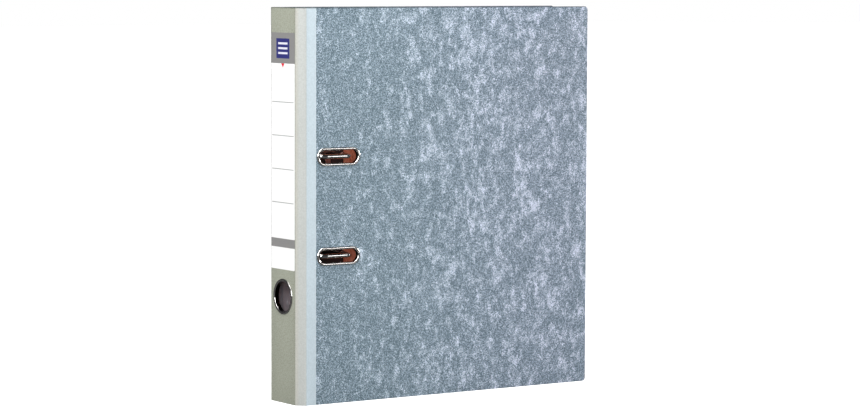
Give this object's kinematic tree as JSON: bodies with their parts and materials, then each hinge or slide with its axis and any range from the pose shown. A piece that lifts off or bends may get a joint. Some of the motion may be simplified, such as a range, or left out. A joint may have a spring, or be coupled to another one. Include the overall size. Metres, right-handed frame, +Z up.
{
  "type": "lever arch file",
  "caption": "Closed A4 lever arch file in cloudy blue-grey paper with sage spine, label, chrome finger ring, slotted cover eyelets and a working lever arch mechanism.",
  "frame": {"origin": "middle of the footprint on the floor, file closed and standing on its bottom edge", "axes": "+Z up along the spine, the spine faces -Y, the front cover faces +X"},
  "size_m": [0.0522, 0.2858, 0.318],
  "materials": {
    "cardboard": "grey board, cut edge",
    "cover_paper": "cloudy blue-grey printed paper, satin",
    "lap_paper": "pale blue printed strip",
    "hinge_paper": "cream printed strip",
    "spine_paper": "sage printed paper, fine grain",
    "lining_paper": "brown lining paper",
    "label_paper": "white label with grey bands",
    "chrome": "bright nickel plate",
    "zinc": "zinc-plated pressed steel",
    "grip": "black plastic",
    "bar": "black plastic"
  },
  "bodies": {
    "back_cover": {"back_board": "cardboard", "back_cover_paper": "cover_paper", "back_cover_lap": "lap_paper", "back_lining": "lining_paper", "base_plate": "zinc", "base_rivets": "chrome", "post_lower": "chrome", "post_upper": "chrome", "lever_pin": "zinc"},
    "rear_hinge_strip": {"rear_hinge_board": "cardboard", "rear_hinge_cloth": "hinge_paper", "rear_hinge_lining": "lining_paper"},
    "spine": {"spine_board": "cardboard", "spine_cloth": "spine_paper", "spine_lining": "lining_paper", "spine_label": "label_paper", "finger_ring": "chrome", "finger_ring_washer": "zinc"},
    "front_hinge_strip": {"front_hinge_board": "cardboard", "front_hinge_cloth": "hinge_paper", "front_hinge_lining": "lining_paper"},
    "front_cover": {"front_board": "cardboard", "front_cover_paper": "cover_paper", "front_cover_lap": "lap_paper", "front_lining": "lining_paper", "slot_eyelets": "chrome", "eyelet_washers": "zinc"},
    "arch": {"arch": "chrome"},
    "lever": {"lever": "zinc", "lever_grip": "grip", "roller_pin": "zinc"},
    "roller": {"lever_roller": "zinc"},
    "compressor": {"compressor_bar": "bar", "compressor_catch": "zinc"}
  },
  "joints": [
    {"name": "front_cover_hinge", "type": "hinge", "parent": "front_hinge_strip", "child": "front_cover", "pos_m": [0.025, -0.1356, 0.159], "axis": [0, 0, -1], "range_deg": [0, 45]},
    {"name": "rear_cover_hinge", "type": "hinge", "parent": "back_cover", "child": "rear_hinge_strip", "pos_m": [-0.025, -0.1356, 0.159], "axis": [0, 0, -1], "range_deg": [0, 48]},
    {"name": "rear_spine_hinge", "type": "hinge", "parent": "rear_hinge_strip", "child": "spine", "pos_m": [-0.0185, -0.1421, 0.159], "axis": [0, 0, -1], "range_deg": [0, 48]},
    {"name": "front_spine_hinge", "type": "hinge", "parent": "spine", "child": "front_hinge_strip", "pos_m": [0.0185, -0.1421, 0.159], "axis": [0, 0, -1], "range_deg": [0, 48]},
    {"name": "arch_pivot", "type": "hinge", "parent": "back_cover", "child": "arch", "pos_m": [-0.0172, -0.1231, 0.159], "axis": [0, 0, -1], "range_deg": [0, 50]},
    {"name": "lever_pivot", "type": "hinge", "parent": "back_cover", "child": "lever", "pos_m": [-0.0165, -0.1096, 0.132], "axis": [0, 1, 0], "range_deg": [0, 85]},
    {"name": "roller_spin", "type": "hinge", "parent": "lever", "child": "roller", "pos_m": [-0.0119, -0.1096, 0.158], "axis": [0, 1, 0], "continuous": true},
    {"name": "compressor_slide", "type": "slide", "parent": "back_cover", "child": "compressor", "axis": [1, 0, 0], "range_m": [0, 0.022]}
  ],
  "couplings": [
    {"joint": "rear_cover_hinge", "follows": "front_cover_hinge", "ratio": 1},
    {"joint": "rear_spine_hinge", "follows": "front_cover_hinge", "ratio": 1},
    {"joint": "front_spine_hinge", "follows": "front_cover_hinge", "ratio": 1},
    {"joint": "arch_pivot", "follows": "front_cover_hinge", "ratio": 1.1},
    {"joint": "lever_pivot", "follows": "front_cover_hinge", "ratio": 1.88}
  ]
}
